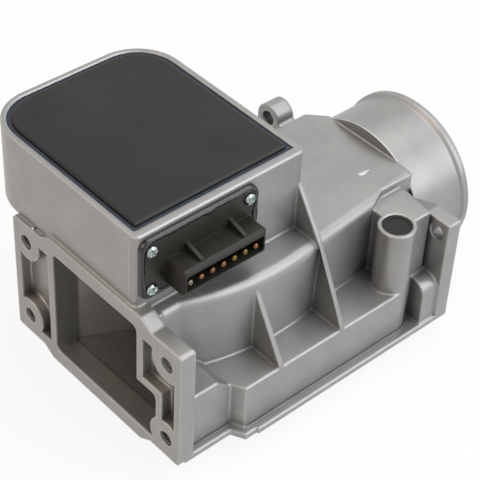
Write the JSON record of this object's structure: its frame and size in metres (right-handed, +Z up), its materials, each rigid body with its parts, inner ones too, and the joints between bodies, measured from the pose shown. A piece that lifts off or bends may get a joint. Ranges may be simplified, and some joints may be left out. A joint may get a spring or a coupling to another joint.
{
  "type": "vane air flow meter",
  "caption": "Vane air flow meter for an engine intake: cast duct with flanged inlet and round outlet, a sprung flap on an upright shaft, and a top box holding its potentiometer.",
  "frame": {"origin": "centre of the inlet duct in the plane of the inlet flange face", "axes": "+Y along the air flow from inlet flange to outlet spigot, +X towards the electrical connector, +Z up through the electronics box and its lid"},
  "size_m": [0.123, 0.1625, 0.0967],
  "materials": {
    "cast_aluminium": "satin, as cast",
    "sheet_aluminium": "satin",
    "vane_aluminium": "satin, as cast",
    "steel": "ground",
    "zinc_steel": "bright zinc plated",
    "spring_steel": "polished strip",
    "brass": "machined",
    "bronze": "sintered, oiled",
    "pin_copper": "tarnished contacts",
    "lid_plastic": "satin moulded",
    "connector_plastic": "matt moulded",
    "wheel_plastic": "moulded",
    "hub_plastic": "moulded",
    "board": "fired ceramic, matt",
    "track": "conductive ink",
    "seal_grey": "cured sealing compound",
    "rubber_black": "moulded rubber",
    "plug_dark": "moulded"
  },
  "bodies": {
    "base": {"body_casting": "cast_aluminium", "bottom_cover": "sheet_aluminium", "cover_seal": "seal_grey", "lower_bearing": "bronze", "upper_bearing": "bronze", "spring_wheel": "wheel_plastic", "spiral_spring": "spring_steel", "wheel_catch": "spring_steel", "catch_screw": "zinc_steel", "stop_buffers": "rubber_black", "resistor_board": "board", "resistor_tracks": "track", "board_screws": "zinc_steel", "contact_strips": "pin_copper", "connector_housing": "connector_plastic", "connector_gasket": "rubber_black", "connector_pins": "pin_copper", "connector_screws": "zinc_steel", "lid": "lid_plastic", "lid_seal": "seal_grey", "sensor_holder": "connector_plastic", "sensor_probe": "steel", "mixture_screw": "brass", "mixture_seal": "rubber_black", "tamper_plug": "plug_dark"},
    "rotor": {"vane": "vane_aluminium", "vane_shaft": "steel", "vane_pin": "steel", "shaft_clip": "spring_steel", "rotor_hub": "hub_plastic", "rotor_nut": "zinc_steel", "counterweight_arm": "zinc_steel", "counterweight": "brass", "wiper_arm": "hub_plastic", "wiper_contacts": "spring_steel"}
  },
  "joints": [
    {"name": "vane_pivot", "type": "hinge", "parent": "base", "child": "rotor", "pos_m": [-0.02, 0.04, 0], "axis": [0, 0, 1], "range_deg": [0, 78], "stiffness_Nm_per_rad": 0.012, "springref_deg": -34.38}
  ]
}
